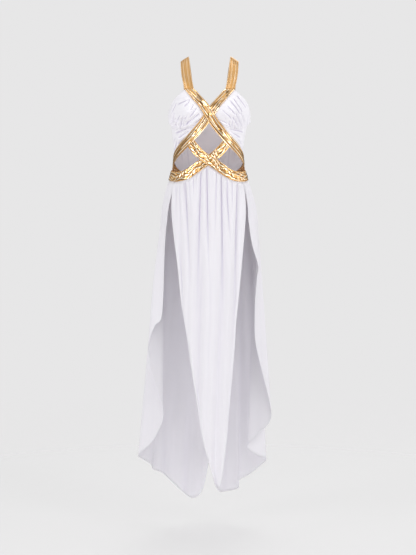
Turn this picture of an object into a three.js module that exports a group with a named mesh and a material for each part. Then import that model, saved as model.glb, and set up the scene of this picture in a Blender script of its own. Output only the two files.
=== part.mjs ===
// A long halter dress of white cloth with crossed gold bands, hollow as it is when worn.
// Millimetres, +Z up, the front faces -Y. The origin is midway between the tops of the two shoulder straps.
// A place on the worn form is a turn in degrees (0 at the front, 90 at the viewer's right, 180 at the
// centre back) and a height z. Left and right are the viewer's.
import * as THREE from "three";

// Walls and seams
const CLOTH = 1.4; // thickness of every piece
const LAYER = 2.2; // how much higher a piece lies than the one that it covers
const TUCK = 5; // how far a piece runs on under the band that covers its edge
const SEAM = 0.15; // half of the gap between two pieces that are sewn edge to edge
const SEAM_TURN = 0.07; // the same, as a turn about the form
const SIDE_SEAM = 92; // turn of the seam between the front and the back of the bodice

// The form that the dress keeps: the x of its middle, its half width, and its depth in front and behind
const FORM = [
  { z: 60, middle: 0, wide: 110, front: 45, back: 60 },
  { z: 0, middle: 0, wide: 118, front: 60, back: 72 },
  { z: -60, middle: 0, wide: 122, front: 70, back: 80 },
  { z: -96, middle: 0, wide: 125, front: 79, back: 86 },
  { z: -150, middle: -0.5, wide: 127, front: 95, back: 90 },
  { z: -173, middle: -0.8, wide: 128, front: 98, back: 90 },
  { z: -221, middle: -2, wide: 118.5, front: 90, back: 84 },
  { z: -259, middle: -3, wide: 112.5, front: 86, back: 79 },
  { z: -291, middle: -3.3, wide: 108.5, front: 83, back: 75 },
  { z: -330, middle: -3.3, wide: 109.5, front: 83, back: 74 },
  { z: -362, middle: -3.6, wide: 113, front: 88, back: 80 },
  { z: -390, middle: -3.6, wide: 121.5, front: 96, back: 92 },
  { z: -420, middle: -3, wide: 132, front: 102, back: 104 },
  { z: -480, middle: -1.5, wide: 148, front: 107, back: 116 },
  { z: -600, middle: 0, wide: 160, front: 110, back: 128 },
  { z: -770, middle: 0, wide: 177, front: 112, back: 148 },
  { z: -950, middle: 0, wide: 192, front: 114, back: 172 },
  { z: -1480, middle: 0, wide: 238, front: 120, back: 236 },
];

// The room that each gathered cup takes in front of the form
const CUP = { apart: 66, reach: 40, z: -170, above: 62, below: 33, deep: 30 };

// The gold bands, from the viewer's left to right. A row gives the two edges, and the layer on which the
// band lies where it passes over its mirror image, and where it passes under.
const CROSS_BAND = [
  { topTurn: -22.8, topZ: -104, lowTurn: -38, lowZ: -104, over: 1, under: 1 },
  { topTurn: -18, topZ: -112, lowTurn: -31, lowZ: -120, over: 1, under: 1 },
  { topTurn: -14.5, topZ: -121.5, lowTurn: -23.5, lowZ: -138, over: 1.2, under: 1 },
  { topTurn: -7.5, topZ: -138, lowTurn: -15.5, lowZ: -157.5, over: 1.9, under: 1 },
  { topTurn: 0, topZ: -156, lowTurn: -9.5, lowZ: -177, over: 2.1, under: 1 },
  { topTurn: 7.7, topZ: -180, lowTurn: -3, lowZ: -197, over: 2.1, under: 1 },
  { topTurn: 15, topZ: -202, lowTurn: 4, lowZ: -219.5, over: 1.9, under: 1 },
  { topTurn: 25, topZ: -226, lowTurn: 13.2, lowZ: -242, over: 1.2, under: 1 },
  { topTurn: 37, topZ: -249, lowTurn: 25.5, lowZ: -266, over: 1, under: 1 },
  { topTurn: 50.4, topZ: -267, lowTurn: 39.5, lowZ: -288, over: 1, under: 1 },
  { topTurn: 64, topZ: -285, lowTurn: 55, lowZ: -309, over: 1, under: 1 },
  { topTurn: 77, topZ: -301, lowTurn: 69.5, lowZ: -328, over: 1, under: 1 },
  { topTurn: 90, topZ: -317.5, lowTurn: 83.5, lowZ: -345, over: 1, under: 1 },
  { topTurn: 103, topZ: -331, lowTurn: 97, lowZ: -357, over: 1, under: 1 },
  { topTurn: 115, topZ: -343, lowTurn: 112, lowZ: -364, over: 1, under: 1 },
  { topTurn: 124, topZ: -351.5, lowTurn: 122, lowZ: -366, over: 1, under: 1 },
  { topTurn: 131, topZ: -358, lowTurn: 130, lowZ: -367.5, over: 1, under: 1 },
];
const WAIST_BAND = [
  { topTurn: -24.5, topZ: -259, lowTurn: -37.5, lowZ: -280, over: 0, under: 0 },
  { topTurn: -16, topZ: -279, lowTurn: -27.5, lowZ: -300, over: 0.4, under: 0.1 },
  { topTurn: -7.4, topZ: -295, lowTurn: -18, lowZ: -316, over: 1.7, under: 0.8 },
  { topTurn: 1.3, topZ: -307.5, lowTurn: -8, lowZ: -330, over: 2.1, under: 1 },
  { topTurn: 8, topZ: -315, lowTurn: 0.5, lowZ: -341, over: 2.1, under: 1 },
  { topTurn: 17, topZ: -326, lowTurn: 9.7, lowZ: -353, over: 2, under: 1 },
  { topTurn: 26, topZ: -338.5, lowTurn: 18.5, lowZ: -366, over: 1.5, under: 1 },
  { topTurn: 36, topZ: -351, lowTurn: 30, lowZ: -380.5, over: 1, under: 1 },
  { topTurn: 47, topZ: -358.5, lowTurn: 43, lowZ: -389.5, over: 1, under: 1 },
  { topTurn: 60, topZ: -361.5, lowTurn: 58, lowZ: -392.5, over: 1.2, under: 1.2 },
  { topTurn: 76, topZ: -361, lowTurn: 76, lowZ: -391, over: 2.1, under: 2.1 },
  { topTurn: 92, topZ: -358.5, lowTurn: 92, lowZ: -387.5, over: 2.1, under: 2.1 },
  { topTurn: 110, topZ: -357, lowTurn: 110, lowZ: -386, over: 2.1, under: 2.1 },
  { topTurn: 130, topZ: -357, lowTurn: 130, lowZ: -386, over: 2.1, under: 2.1 },
  { topTurn: 146, topZ: -357.5, lowTurn: 146, lowZ: -386.5, over: 1.3, under: 1.3 },
  { topTurn: 162, topZ: -358, lowTurn: 162, lowZ: -387, over: 1, under: 1 },
  { topTurn: 179.93, topZ: -358, lowTurn: 179.93, lowZ: -387, over: 1, under: 1 },
];

// A neck strap between its two seams: the middle of its width, and the angle at which it slopes outwards
const STRAP_HALF = 15;
const STRAP_BOW = 1.1; // how far its middle stands up between its edges
const STRAP = [
  { x: 73, y: -62, z: -58, slope: 14 },
  { x: 77, y: -30, z: -18, slope: 26 },
  { x: 78, y: 2, z: -7, slope: 33 },
  { x: 76, y: 36, z: -22, slope: 30 },
  { x: 71, y: 66, z: -66, slope: 16 },
  { x: 67, y: 78, z: -112, slope: 6 },
];
const STRAP_END = { innerTurn: 155.5, outerTurn: 140.5, z: -158 }; // sewn on the back bodice
const STRAP_LAP = -144; // height at which it meets the top of the back bodice

// Edges of the white pieces of the left half, from the side seam towards the centre
const CUP_TOP = [
  { turn: -92, z: -171 },
  { turn: -80, z: -167.5 },
  { turn: -75.4, z: -158.8 },
  { turn: -68.4, z: -146.6 },
  { turn: -58.8, z: -132.9 },
  { turn: -47.1, z: -117.7 },
  { turn: -35.5, z: -101 },
];
const UNDERBUST = [
  { turn: -92, z: -207 },
  { turn: -80, z: -212 },
  { turn: -70.6, z: -220 },
  { turn: -60.4, z: -226.3 },
  { turn: -47.3, z: -228 },
  { turn: -36.7, z: -225 },
  { turn: -25.8, z: -221.5 },
  { turn: -15, z: -218 },
];
const CUP_INNER = [
  { turn: -15, z: -218 },
  { turn: -10, z: -203 },
  { turn: -8, z: -184 },
  { turn: -12.5, z: -160 },
  { turn: -20, z: -137 },
  { turn: -27.5, z: -119 },
  { turn: -35.5, z: -101 },
];
const MIDRIFF_LOW = [
  { turn: -92, z: -325 },
  { turn: -78, z: -309 },
  { turn: -64, z: -292 },
  { turn: -50.4, z: -274 },
  { turn: -37, z: -256 },
  { turn: -25, z: -238 },
  { turn: -15, z: -224 },
];
// Soft folds: how many and how deep, between which shares of the height they rise and fade, and between
// which shares of the width they fade towards the centre
const CUP_GATHERS = { count: 9, deep: 3, rise: [0, 0.15], fade: [0.3, 0.9], inner: [0.7, 0.85] };
const MIDRIFF_FOLDS = { count: 4, deep: 1.6, rise: [0.25, 0.5], fade: [0.8, 1], inner: [0.5, 0.7] };

// The plain back of the bodice, from the side seam to the centre back
const BACK_EDGES = [
  { turn: 92, topZ: -171, lowZ: -325 },
  { turn: 103, topZ: -168.5, lowZ: -337 },
  { turn: 115, topZ: -163, lowZ: -349 },
  { turn: 124, topZ: -158, lowZ: -357 },
  { turn: 131, topZ: -154, lowZ: -363 },
  { turn: 148, topZ: -149, lowZ: -363 },
  { turn: 180, topZ: -153, lowZ: -363 },
];

// The slit between the front and back skirt panels starts at this turn on each hip.
const SLIT = 59;

// The front panel: its two edges, down to the point
const FRONT = [
  { z: -390, left: -107, right: 99.5 },
  { z: -450, left: -113.5, right: 106.5 },
  { z: -500, left: -113.5, right: 107.8 },
  { z: -576, left: -106.6, right: 103.3 },
  { z: -640, left: -99, right: 98.5 },
  { z: -766, left: -87.3, right: 88.7 },
  { z: -829, left: -77.7, right: 82.5 },
  { z: -892, left: -68, right: 78.4 },
  { z: -955, left: -60, right: 73.9 },
  { z: -1081, left: -40.5, right: 63.4 },
  { z: -1206, left: -21, right: 53.3 },
  { z: -1269, left: -3.8, right: 45.4 },
  { z: -1332, left: 14.5, right: 36 },
  { z: -1356, left: 24.5, right: 29 },
];
const FRONT_RISE = 8; // how far the gathered cloth stands off the form between its folds
const RISE_FADES = 600; // depth below the waist over which it settles
const WIDENS = 0.7; // how much wider a fold is at its end
const FADES_FROM = 0.1; // share of its length from which a fold gets shallower
// The folds, soft troughs: the x at the waist and at their end, how deep, how wide, and how long
const FRONT_FOLDS = [
  { from: -101, to: -100, deep: 4, wide: 5, long: 170 },
  { from: -92, to: -86, deep: 4, wide: 4, long: 220 },
  { from: -82, to: -70, deep: 5, wide: 4, long: 190 },
  { from: -75, to: -56, deep: 9, wide: 5, long: 420 },
  { from: -62, to: -54, deep: 4, wide: 4, long: 260 },
  { from: -50, to: -47, deep: 5, wide: 4, long: 150 },
  { from: -41, to: -40, deep: 5, wide: 4, long: 170 },
  { from: -27, to: -50, deep: 12, wide: 6, long: 640 },
  { from: -18, to: -22, deep: 4, wide: 3.5, long: 170 },
  { from: -9, to: -1, deep: 12, wide: 5, long: 460 },
  { from: 2, to: 3, deep: 4, wide: 3.5, long: 260 },
  { from: 10, to: 9, deep: 5, wide: 4, long: 150 },
  { from: 21, to: 16, deep: 6, wide: 4, long: 240 },
  { from: 36, to: 46, deep: 11, wide: 5.5, long: 560 },
  { from: 45, to: 60, deep: 4, wide: 3.5, long: 170 },
  { from: 53, to: 66, deep: 8, wide: 4.5, long: 300 },
  { from: 68, to: 70, deep: 5, wide: 4, long: 180 },
  { from: 87, to: 76, deep: 11, wide: 6, long: 600 },
  { from: 97, to: 95, deep: 4, wide: 4, long: 170 },
];

// The back panels: a row for each fold, from the slit round to the centre back. A fold's place is a turn at
// the waist and at the hip, then x and y at the thigh and at the ankle. The cloth ends there at the hem.
const LEVEL = { waist: -390, hip: -440, seat: -520, thigh: -760, ankle: -1280 };
const BACK_LEFT = [
  { waist: -59.1, hip: -58.5, thighX: -146, thighY: -76, ankleX: -160, ankleY: -70, hem: -412 },
  { waist: -67, hip: -66, thighX: -147, thighY: -68, ankleX: -170, ankleY: -62, hem: -785 },
  { waist: -73, hip: -73, thighX: -168, thighY: -56, ankleX: -208, ankleY: -50, hem: -852 },
  { waist: -79, hip: -80, thighX: -181, thighY: -42, ankleX: -220, ankleY: -34, hem: -937 },
  { waist: -86, hip: -87, thighX: -167, thighY: -24, ankleX: -182, ankleY: -14, hem: -1040 },
  { waist: -92, hip: -92, thighX: -146, thighY: -8, ankleX: -148, ankleY: 2, hem: -1146 },
  { waist: -97, hip: -97, thighX: -160, thighY: 12, ankleX: -184, ankleY: 18, hem: -1230 },
  { waist: -103, hip: -103, thighX: -183, thighY: 36, ankleX: -231, ankleY: 44, hem: -1284 },
  { waist: -110, hip: -110, thighX: -166, thighY: 58, ankleX: -214, ankleY: 72, hem: -1304 },
  { waist: -118, hip: -118, thighX: -161, thighY: 80, ankleX: -190, ankleY: 98, hem: -1326 },
  { waist: -127, hip: -127, thighX: -143, thighY: 92, ankleX: -182, ankleY: 130, hem: -1350 },
  { waist: -137, hip: -137, thighX: -125, thighY: 112, ankleX: -152, ankleY: 152, hem: -1368 },
  { waist: -148, hip: -148, thighX: -92, thighY: 122, ankleX: -124, ankleY: 190, hem: -1402 },
  { waist: -159, hip: -159, thighX: -62, thighY: 142, ankleX: -80, ankleY: 198, hem: -1448 },
  { waist: -169, hip: -169, thighX: -32, thighY: 143, ankleX: -48, ankleY: 222, hem: -1474 },
  { waist: -176, hip: -176, thighX: -12, thighY: 148, ankleX: -20, ankleY: 220, hem: -1440 },
  { waist: -179.93, hip: -179.93, thighX: -0.2, thighY: 148, ankleX: -0.4, ankleY: 222, hem: -1336 },
];
const BACK_RIGHT = [
  { waist: 59.1, hip: 51, thighX: 138, thighY: -76, ankleX: 160, ankleY: -70, hem: -412 },
  { waist: 66, hip: 55, thighX: 148, thighY: -68, ankleX: 170, ankleY: -62, hem: -570 },
  { waist: 73, hip: 68, thighX: 157, thighY: -54, ankleX: 170, ankleY: -48, hem: -652 },
  { waist: 80, hip: 79, thighX: 148, thighY: -40, ankleX: 150, ankleY: -36, hem: -705 },
  { waist: 86, hip: 87, thighX: 144, thighY: -24, ankleX: 146, ankleY: -20, hem: -872 },
  { waist: 92, hip: 93, thighX: 157, thighY: -6, ankleX: 177, ankleY: -2, hem: -990 },
  { waist: 99, hip: 99, thighX: 170, thighY: 14, ankleX: 207, ankleY: 18, hem: -1150 },
  { waist: 104, hip: 104, thighX: 158, thighY: 34, ankleX: 158, ankleY: 36, hem: -1212 },
  { waist: 109, hip: 109, thighX: 138, thighY: 50, ankleX: 122, ankleY: 52, hem: -1258 },
  { waist: 115, hip: 115, thighX: 148, thighY: 68, ankleX: 156, ankleY: 66, hem: -1290 },
  { waist: 122, hip: 122, thighX: 153, thighY: 86, ankleX: 185, ankleY: 92, hem: -1308 },
  { waist: 130, hip: 130, thighX: 137, thighY: 96, ankleX: 156, ankleY: 130, hem: -1346 },
  { waist: 139, hip: 139, thighX: 117, thighY: 116, ankleX: 128, ankleY: 158, hem: -1376 },
  { waist: 146, hip: 146, thighX: 98, thighY: 118, ankleX: 98, ankleY: 172, hem: -1398 },
  { waist: 154, hip: 154, thighX: 76, thighY: 134, ankleX: 92, ankleY: 192, hem: -1430 },
  { waist: 163, hip: 163, thighX: 50, thighY: 142, ankleX: 54, ankleY: 204, hem: -1444 },
  { waist: 171, hip: 171, thighX: 28, thighY: 145, ankleX: 32, ankleY: 222, hem: -1450 },
  { waist: 176, hip: 176, thighX: 12, thighY: 148, ankleX: 16, ankleY: 220, hem: -1420 },
  { waist: 179.93, hip: 179.93, thighX: 0.2, thighY: 148, ankleX: 0.4, ankleY: 222, hem: -1336 },
];
const BACK_GATHERS = { count: 13, deep: 3.4, long: 170 };
const GATHER_START = 12; // how far below the waist bands the gathers reach their full depth

// How finely each sheet is divided: along it, and across or down it
const DIVIDED = {
  band: [44, 2],
  strap: [16, 2],
  cup: [27, 6],
  midriff: [12, 6],
  bodice: [24, 7],
  front: [54, 14],
  back: [52, 14],
};
const ROWS_CLOSER = 1.7; // how much closer the skirts' divisions lie at the waist

const radians = THREE.MathUtils.degToRad;
const { lerp, smoothstep } = THREE.MathUtils;

// A smooth curve through the rows of a table: every column's value where the key column is at a place.
function along(rows, key, place) {
  const last = rows.length - 1;
  const sign = Math.sign(rows[last][key] - rows[0][key]);
  let i = 0;
  while (i < last - 1 && (place - rows[i + 1][key]) * sign > 0) i++;
  const step = rows[i + 1][key] - rows[i][key];
  const s = THREE.MathUtils.clamp((place - rows[i][key]) / step, 0, 1);
  const row = {};
  for (const name in rows[0]) {
    const slope = (j) => {
      const a = rows[Math.max(j - 1, 0)];
      const b = rows[Math.min(j + 1, last)];
      return (b[name] - a[name]) / (b[key] - a[key]);
    };
    row[name] =
      (2 * s ** 3 - 3 * s ** 2 + 1) * rows[i][name] +
      (s ** 3 - 2 * s ** 2 + s) * step * slope(i) +
      (3 * s ** 2 - 2 * s ** 3) * rows[i + 1][name] +
      (s ** 3 - s ** 2) * step * slope(i + 1);
  }
  return row;
}

// The rows with a share column that runs evenly from 0 to 1.
const shared = (rows) => rows.map((row, n) => ({ ...row, share: n / (rows.length - 1) }));

// The point of the worn form at a turn and a height.
function onForm(turn, z) {
  const section = along(FORM, "z", z);
  const facing = Math.cos(radians(turn));
  const aside = section.wide * Math.sin(radians(turn));
  const x = section.middle + aside;
  if (facing <= 0) return new THREE.Vector3(x, -section.back * facing, z);
  const up = (z - CUP.z) / (z > CUP.z ? CUP.above : CUP.below);
  const side = (Math.abs(aside) - CUP.apart) / CUP.reach;
  const cup = CUP.deep * Math.exp(-side * side - up * up) * Math.sqrt(facing);
  return new THREE.Vector3(x, -section.front * facing - cup, z);
}

// The outward direction of a sheet at (u, v), from the points close around it.
function outward(at, u, v) {
  const e = 1e-3;
  const alongU = at(Math.min(u + e, 1), v).sub(at(Math.max(u - e, 0), v));
  const alongV = at(u, Math.min(v + e, 1)).sub(at(u, Math.max(v - e, 0)));
  return alongU.cross(alongV).normalize();
}

// A closed wall of cloth on the sheet at(u, v), lifted off it. The cross of u and v points outwards.
function wall(name, material, [columns, rows], at, lift = () => 0) {
  const positions = [];
  const faces = [];
  const stride = columns + 1;
  const count = stride * (rows + 1);
  for (const height of [CLOTH, 0]) {
    for (let n = 0; n < count; n++) {
      const u = (n % stride) / columns;
      const v = Math.floor(n / stride) / rows;
      const out = outward(at, u, v).multiplyScalar(lift(u, v) + height);
      positions.push(...at(u, v).add(out).toArray());
    }
  }
  const quad = (a, b, c, d) => faces.push(a, b, c, a, c, d);
  for (let j = 0; j < rows; j++) {
    for (let i = 0; i < columns; i++) {
      const a = j * stride + i;
      quad(a, a + 1, a + 1 + stride, a + stride);
      quad(count + a, count + a + stride, count + a + stride + 1, count + a + 1);
    }
  }
  const edge = (a, b) => quad(a, count + a, count + b, b);
  for (let i = 0; i < columns; i++) {
    edge(i, i + 1);
    edge(rows * stride + i + 1, rows * stride + i);
  }
  for (let j = 0; j < rows; j++) {
    edge(j * stride + columns, (j + 1) * stride + columns);
    edge((j + 1) * stride, j * stride);
  }
  const geometry = new THREE.BufferGeometry();
  geometry.setAttribute("position", new THREE.Float32BufferAttribute(positions, 3));
  geometry.setIndex(faces);
  geometry.computeVertexNormals();
  const mesh = new THREE.Mesh(geometry, material);
  mesh.name = name;
  return mesh;
}

const white = new THREE.MeshStandardMaterial({ color: 0xf2f2f6, roughness: 0.85, side: THREE.DoubleSide });
const gold = new THREE.MeshStandardMaterial({ color: 0xc9a063, roughness: 0.28, metalness: 1 });
const dress = new THREE.Group();

// Gold bands: the sheet between the two edges of a table, mirrored where side is -1.
function band(name, table, side, layer) {
  const rows = shared(table);
  const rowAt = (u) => along(rows, "share", side > 0 ? u : 1 - u);
  const at = (u, v) => {
    const row = rowAt(u);
    return onForm(side * lerp(row.lowTurn, row.topTurn, v), lerp(row.lowZ, row.topZ, v));
  };
  return wall(name, gold, DIVIDED.band, at, (u) => LAYER * Math.max(rowAt(u)[layer], 0));
}
dress.add(band("cross_band_over", CROSS_BAND, 1, "over"));
dress.add(band("cross_band_under", CROSS_BAND, -1, "under"));
dress.add(band("waist_band_over", WAIST_BAND, 1, "over"));
dress.add(band("waist_band_under", WAIST_BAND, -1, "under"));

// A point that lies on the form as high as a gold band does.
function onBand(turn, z) {
  const around = (u, v) => onForm(turn + u - 0.5, z + v - 0.5);
  return around(0.5, 0.5).addScaledVector(outward(around, 0.5, 0.5), LAYER);
}

// Neck straps, from the seam with the cross band over the shoulder to the back of the bodice.
function neckStrap(name, side) {
  const joint = CROSS_BAND[0];
  const seamZ = joint.topZ + 2 * SEAM;
  const inner = [onBand(-side * joint.topTurn, seamZ)];
  const outer = [onBand(-side * joint.lowTurn, seamZ)];
  for (const { x, y, z, slope } of STRAP) {
    const across = STRAP_HALF * Math.cos(radians(slope));
    const drop = STRAP_HALF * Math.sin(radians(slope));
    inner.push(new THREE.Vector3(side * (x - across), y, z + drop));
    outer.push(new THREE.Vector3(side * (x + across), y, z - drop));
  }
  for (const z of [STRAP_LAP, STRAP_END.z]) {
    inner.push(onBand(side * STRAP_END.innerTurn, z));
    outer.push(onBand(side * STRAP_END.outerTurn, z));
  }
  const edges = (side < 0 ? [inner, outer] : [outer, inner]).map((line) => new THREE.CatmullRomCurve3(line));
  const at = (u, v) => edges[0].getPoint(u).lerp(edges[1].getPoint(u), v);
  return wall(name, gold, DIVIDED.strap, at, (u, v) => 4 * STRAP_BOW * v * (1 - v));
}
dress.add(neckStrap("neck_strap_left", -1));
dress.add(neckStrap("neck_strap_right", 1));

// A patch of the bodice between four edges of the left half, given as turns and heights; side 1 mirrors it.
function patch(side, low, top, inner) {
  const [lowRows, topRows, innerRows] = [low, top, inner].map(shared);
  const blend = (u, v, name) => {
    const bottom = along(lowRows, "share", u)[name];
    const upper = along(topRows, "share", u)[name];
    const left = lerp(low[0][name], top[0][name], v);
    const right = along(innerRows, "share", v)[name];
    const corners = lerp(
      lerp(low[0][name], low[low.length - 1][name], u),
      lerp(top[0][name], top[top.length - 1][name], u),
      v,
    );
    return lerp(bottom, upper, v) + lerp(left, right, u) - corners;
  };
  const sewn = (turn) => THREE.MathUtils.clamp(turn, -SIDE_SEAM + SEAM_TURN, 0);
  return (u, v) => {
    const s = side < 0 ? u : 1 - u;
    return onForm(-side * sewn(blend(s, v, "turn")), blend(s, v, "z"));
  };
}
const moved = (rows, z) => rows.map((row) => ({ ...row, z: row.z + z }));
const wave = (turns) => (1 - Math.cos(2 * Math.PI * turns)) / 2;
const room = ({ rise, fade, inner }, s, v) =>
  smoothstep(v, ...rise) * (1 - smoothstep(v, ...fade)) * (1 - smoothstep(s, ...inner));

// Cups, gathered into the seam under the bust, and the side pieces below them with slanting folds
for (const [which, side] of [["left", -1], ["right", 1]]) {
  const fromSide = (u) => (side < 0 ? u : 1 - u);
  const gathers = (u, v) => {
    const s = fromSide(u);
    return CUP_GATHERS.deep * room(CUP_GATHERS, s, v) * wave(CUP_GATHERS.count * s);
  };
  const cup = patch(side, moved(UNDERBUST, SEAM), CUP_TOP, moved(CUP_INNER, SEAM));
  dress.add(wall("cup_" + which, white, DIVIDED.cup, cup, gathers));

  const folds = (u, v) => {
    const s = fromSide(u);
    return MIDRIFF_FOLDS.deep * room(MIDRIFF_FOLDS, s, v) * wave(MIDRIFF_FOLDS.count * (s + v / 2));
  };
  const end = UNDERBUST[UNDERBUST.length - 1];
  const lowEnd = MIDRIFF_LOW[MIDRIFF_LOW.length - 1];
  const short = [lowEnd, { ...end, z: end.z - SEAM }];
  const midriff = patch(side, MIDRIFF_LOW, moved(UNDERBUST, -SEAM), short);
  dress.add(wall("midriff_" + which, white, DIVIDED.midriff, midriff, folds));
}

const backBodice = (u, v) => {
  const seam = SIDE_SEAM + SEAM_TURN;
  const turn = lerp(seam, 360 - seam, u);
  const edges = along(BACK_EDGES, "turn", Math.min(turn, 360 - turn));
  return onForm(turn, lerp(edges.lowZ, edges.topZ, v));
};
dress.add(wall("back_bodice", white, DIVIDED.bodice, backBodice));

// Height of the lower edge of the waist bands at a turn, and how far a gather has opened at a depth below.
const waistline = (turn) => along(WAIST_BAND, "lowTurn", Math.abs(turn)).lowZ;
const opened = (depth) => smoothstep(depth, 0, GATHER_START);
// How far a skirt's row lies below the bands: the first under them, the second at their edge, the last at
// the hem.
function depthOf(v, length, rows) {
  const row = (1 - v) * rows;
  return row < 1 ? TUCK * (row - 1) : length * ((row - 1) / (rows - 1)) ** ROWS_CLOSER;
}
// The point moved straight out from the upright axis.
function pushed(point, turn, distance) {
  const out = new THREE.Vector3(Math.sin(radians(turn)), -Math.cos(radians(turn)), 0);
  return point.addScaledVector(out, distance);
}

// Front skirt panel: v runs up, so that the sheet faces out.
function frontPanel(u, v) {
  const tip = FRONT[FRONT.length - 1].z;
  const top = waistline(lerp(-SLIT, SLIT, u));
  const z = top - depthOf(v, top - tip, DIVIDED.front[1]);
  const edgeZ = Math.min(z, FRONT[0].z);
  const edges = along(FRONT, "z", edgeZ);
  const form = along(FORM, "z", edgeZ);
  const turnOf = (x) => THREE.MathUtils.radToDeg(Math.asin((x - form.middle) / form.wide));
  const turn = lerp(turnOf(edges.left), turnOf(edges.right), u);
  const point = onForm(turn, z);
  const depth = waistline(turn) - z;
  let rise = FRONT_RISE * Math.exp(-depth / RISE_FADES);
  for (const fold of FRONT_FOLDS) {
    const down = THREE.MathUtils.clamp(depth / fold.long, 0, 1);
    const side = (point.x - lerp(fold.from, fold.to, down)) / (fold.wide * (1 + WIDENS * down));
    rise -= fold.deep * Math.exp(-side * side) * (1 - smoothstep(down, FADES_FROM, 1));
  }
  return pushed(point, turn, opened(depth) * rise);
}
dress.add(wall("skirt_front", white, DIVIDED.front, frontPanel));

// Back skirt panels: the folds of a table, joined by a smooth line at every height.
function backPanel(table) {
  const rows = shared(table);
  const side = Math.sign(table[0].waist);
  return (u, v) => {
    const share = side > 0 ? u : 1 - u;
    const fold = along(rows, "share", share);
    const top = waistline(fold.waist);
    const depth = depthOf(v, top - fold.hem, DIVIDED.back[1]);
    const z = top - depth;
    const settled = (height) => smoothstep(-height, -LEVEL.waist, -LEVEL.seat);
    const onHip = (height) => onForm(lerp(fold.waist, fold.hip, settled(height)), height);
    const point = onHip(z);
    if (z < LEVEL.seat) {
      const levels = [
        { ...onHip(LEVEL.hip) },
        { ...onHip(LEVEL.seat) },
        { x: fold.thighX, y: fold.thighY, z: LEVEL.thigh },
        { x: fold.ankleX, y: fold.ankleY, z: LEVEL.ankle },
      ];
      const below = Math.min(z - LEVEL.ankle, 0) / (LEVEL.ankle - LEVEL.thigh);
      const hung = along(levels, "z", z);
      point.x = hung.x + below * (fold.ankleX - fold.thighX);
      point.y = hung.y + below * (fold.ankleY - fold.thighY);
    }
    const gather = wave(BACK_GATHERS.count * share) * Math.exp(-depth / BACK_GATHERS.long);
    return pushed(point, fold.waist, opened(depth) * BACK_GATHERS.deep * gather);
  };
}
dress.add(wall("skirt_back_left", white, DIVIDED.back, backPanel(BACK_LEFT)));
dress.add(wall("skirt_back_right", white, DIVIDED.back, backPanel(BACK_RIGHT)));

export default dress;
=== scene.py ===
# %% [markdown]
# # A white dress with crossed gold bands
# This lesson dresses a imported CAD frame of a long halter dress. The frame holds every sewn piece as
# a plain rigid wall. Here each wall is replaced by cloth with its real folds, gathers and finish.
# All lengths are in metres, the front of the dress faces -Y, and the origin is midway between the
# tops of the two shoulder straps.

# %% Load the frame
import math

import bmesh
import bpy
import numpy as np
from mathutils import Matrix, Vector


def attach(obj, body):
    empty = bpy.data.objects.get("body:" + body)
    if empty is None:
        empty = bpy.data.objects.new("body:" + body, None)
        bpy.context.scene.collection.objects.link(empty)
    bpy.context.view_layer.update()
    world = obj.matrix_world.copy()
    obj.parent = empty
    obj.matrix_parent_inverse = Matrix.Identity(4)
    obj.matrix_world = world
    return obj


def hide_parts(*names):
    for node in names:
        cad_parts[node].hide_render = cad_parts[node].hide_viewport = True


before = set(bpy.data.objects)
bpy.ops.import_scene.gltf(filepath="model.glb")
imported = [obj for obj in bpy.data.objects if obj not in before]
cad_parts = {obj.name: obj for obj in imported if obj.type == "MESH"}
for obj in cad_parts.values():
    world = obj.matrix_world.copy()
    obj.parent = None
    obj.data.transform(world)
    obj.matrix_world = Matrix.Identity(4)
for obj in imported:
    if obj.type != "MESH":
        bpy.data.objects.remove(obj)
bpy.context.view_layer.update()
MM = 0.001
print("nodes in the frame:", len(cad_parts))

# %% [markdown]
# ## The camera
# The photograph was taken from about five metres, a little above the waist and looking down a few
# degrees. The lens is worked out from the frame's height in pixels and the size of one pixel at the
# dress.

# %% Camera
PHOTO = {"width": 416, "height": 555, "pixel": 3.2 * MM, "shoulder_row": 59, "middle_column": 209.6}
CAMERA = {"distance": 5.0, "pitch": math.radians(5), "sensor": 0.036}


def make_camera():
    data = bpy.data.cameras.new("camera")
    data.sensor_fit = "VERTICAL"
    data.sensor_height = CAMERA["sensor"] * 1000
    data.lens = data.sensor_height * CAMERA["distance"] / (PHOTO["pixel"] * PHOTO["height"])
    camera = bpy.data.objects.new("camera", data)
    middle = -(PHOTO["height"] / 2 - PHOTO["shoulder_row"]) * PHOTO["pixel"]
    back = CAMERA["distance"] * math.cos(CAMERA["pitch"])
    aside = (PHOTO["width"] / 2 - PHOTO["middle_column"]) * PHOTO["pixel"]
    camera.location = (aside, -back, middle + CAMERA["distance"] * math.sin(CAMERA["pitch"]))
    camera.rotation_euler = (math.pi / 2 - CAMERA["pitch"], 0, 0)
    bpy.context.scene.collection.objects.link(camera)
    bpy.context.scene.camera = camera
    return camera


camera = make_camera()
print("lens in mm:", round(camera.data.lens, 1))

# %% [markdown]
# ## Tables and smooth curves
# A garment is drawn from a few measured sections. Each table below has a row for a section, edge
# point or fold, and a column for each measure. One function runs a smooth curve through the rows,
# for thousands of points at once.


# %% Curves through tables
def table(columns, *rows):
    return dict(zip(columns.split(), np.array(rows, float).T))


def hermite(s, step, start, end, start_slope, end_slope):
    """A smooth curve from start to end over one step, with its slope at both."""
    return (
        (2 * s**3 - 3 * s**2 + 1) * start
        + (s**3 - 2 * s**2 + s) * step * start_slope
        + (3 * s**2 - 2 * s**3) * end
        + (s**3 - s**2) * step * end_slope
    )


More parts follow.
